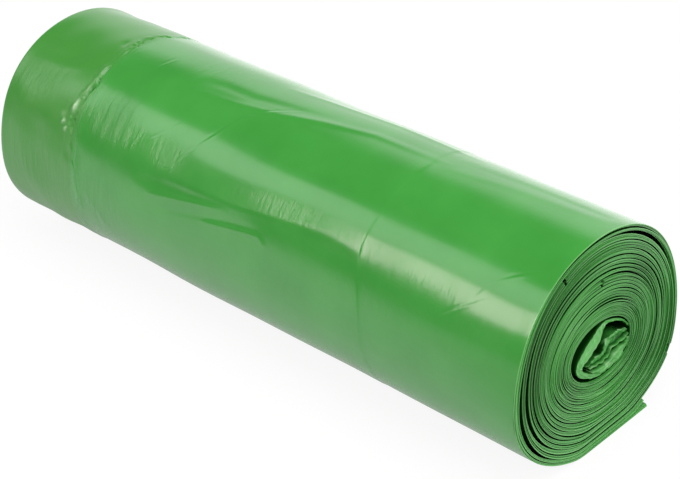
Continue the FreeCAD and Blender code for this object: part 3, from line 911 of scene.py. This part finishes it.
floor_mesh = bpy.data.meshes.new("floor")
corners = [(-FLOOR, -FLOOR, 0), (FLOOR, -FLOOR, 0), (FLOOR, FLOOR, 0), (-FLOOR, FLOOR, 0)]
floor_mesh.from_pydata(corners, [], [(0, 1, 2, 3)])
floor = bpy.data.objects.new("floor", floor_mesh)
bpy.context.scene.collection.objects.link(floor)
floor_material = bpy.data.materials.new("floor")
tree = empty_tree(floor_material)
output = add_node(tree, "ShaderNodeOutputMaterial")
floor_mix = add_node(tree, "ShaderNodeMixShader")
paper = add_node(tree, "ShaderNodeBsdfDiffuse", Color=FLOOR_COLOUR)
glow = add_node(tree, "ShaderNodeEmission")
level = add_node(tree, "ShaderNodeMix", B=GLOW_SEEN)
path = add_node(tree, "ShaderNodeLightPath")
place = add_node(tree, "ShaderNodeTexCoord")
axes = add_node(tree, "ShaderNodeSeparateXYZ")
away = add_node(tree, "ShaderNodeVectorMath", operation="DOT_PRODUCT")
away.inputs[1].default_value = AWAY
join(tree, (place, "Object", axes, "Vector"), (place, "Object", away, 0))
near = add_ramp(tree, (axes, "Y"), *NEAR_GLOW)
back = add_ramp(tree, (axes, "Y"), *BACK_GLOW)
edge = add_ramp(tree, (away, "Value"), *FRONT_EDGE, kind="SMOOTHSTEP")
mirrored = add_math(tree, "ADD", (near, "Result"), (back, "Result"))
glossy = add_math(tree, "MULTIPLY", (edge, "Result"), (path, "Is Glossy Ray"))
seen = add_math(tree, "MAXIMUM", (path, "Is Camera Ray"), (glossy, "Value"))
share = add_math(tree, "MULTIPLY", (seen, "Value"), GLOW_SHARE)
join(tree, (path, "Is Camera Ray", level, "Factor"), (mirrored, "Value", level, "A"),
     (level, "Result", glow, "Strength"), (share, "Value", floor_mix, "Fac"),
     (paper, "BSDF", floor_mix, 1), (glow, "Emission", floor_mix, 2),
     (floor_mix, "Shader", output, "Surface"))
floor_mesh.materials.append(floor_material)

world = bpy.data.worlds.new("studio")
bpy.context.scene.world = world
tree = empty_tree(world)
output = add_node(tree, "ShaderNodeOutputWorld")
world_mix = add_node(tree, "ShaderNodeMixShader")
gloss_mix = add_node(tree, "ShaderNodeMixShader")
surround = add_node(tree, "ShaderNodeBackground", Strength=SURROUND)
fill = add_node(tree, "ShaderNodeBackground", Strength=FILL)
mirrored = add_node(tree, "ShaderNodeBackground")
path = add_node(tree, "ShaderNodeLightPath")
place = add_node(tree, "ShaderNodeTexCoord")
axes = add_node(tree, "ShaderNodeSeparateXYZ")
join(tree, (place, "Generated", axes, "Vector"))
behind = add_math(tree, "SUBTRACT", (axes, "Y"), (axes, "Z"))
backdrop = add_ramp(tree, (behind, "Value"), *BACKDROP, kind="SMOOTHSTEP")
join(tree, (backdrop, "Result", mirrored, "Strength"), (path, "Is Glossy Ray", gloss_mix, "Fac"),
     (fill, "Background", gloss_mix, 1), (mirrored, "Background", gloss_mix, 2),
     (path, "Is Camera Ray", world_mix, "Fac"), (gloss_mix, "Shader", world_mix, 1),
     (surround, "Background", world_mix, 2), (world_mix, "Shader", output, "Surface"))


def soft_box(name, direction, distance, width, height, radiance, colour=(1, 1, 1)):
    """An area lamp of the given radiance that looks at the roll from a direction. Its width runs
    along the roll."""
    data = bpy.data.lights.new(name, "AREA")
    data.shape = "RECTANGLE"
    data.size = width
    data.size_y = height
    data.energy = radiance * math.pi * width * height
    data.color = colour
    lamp = bpy.data.objects.new(name, data)
    towards = Vector(direction).normalized()
    wide = (Vector((1, 0, 0)) - towards * towards.x).normalized()
    turned = Matrix((wide, towards.cross(wide), towards)).transposed().to_4x4()
    lamp.matrix_world = Matrix.Translation(CAMERA_AIM + towards * distance) @ turned
    bpy.context.scene.collection.objects.link(lamp)


soft_box("left_high_box", (-0.634, -0.393, 0.667), distance=1.6, width=1.1, height=0.50,
         radiance=1.8)
soft_box("left_low_box", (-0.46, -0.695, 0.496), distance=1.6, width=0.38, height=0.56,
         radiance=5.6, colour=(1.0, 0.83, 0.85))
soft_box("top_box", (0.35, 0.05, 1.0), distance=1.6, width=1.4, height=1.4, radiance=2.3)
soft_box("front_box", (1.0, -0.1, 0.5), distance=1.8, width=1.4, height=1.2, radiance=1.7)
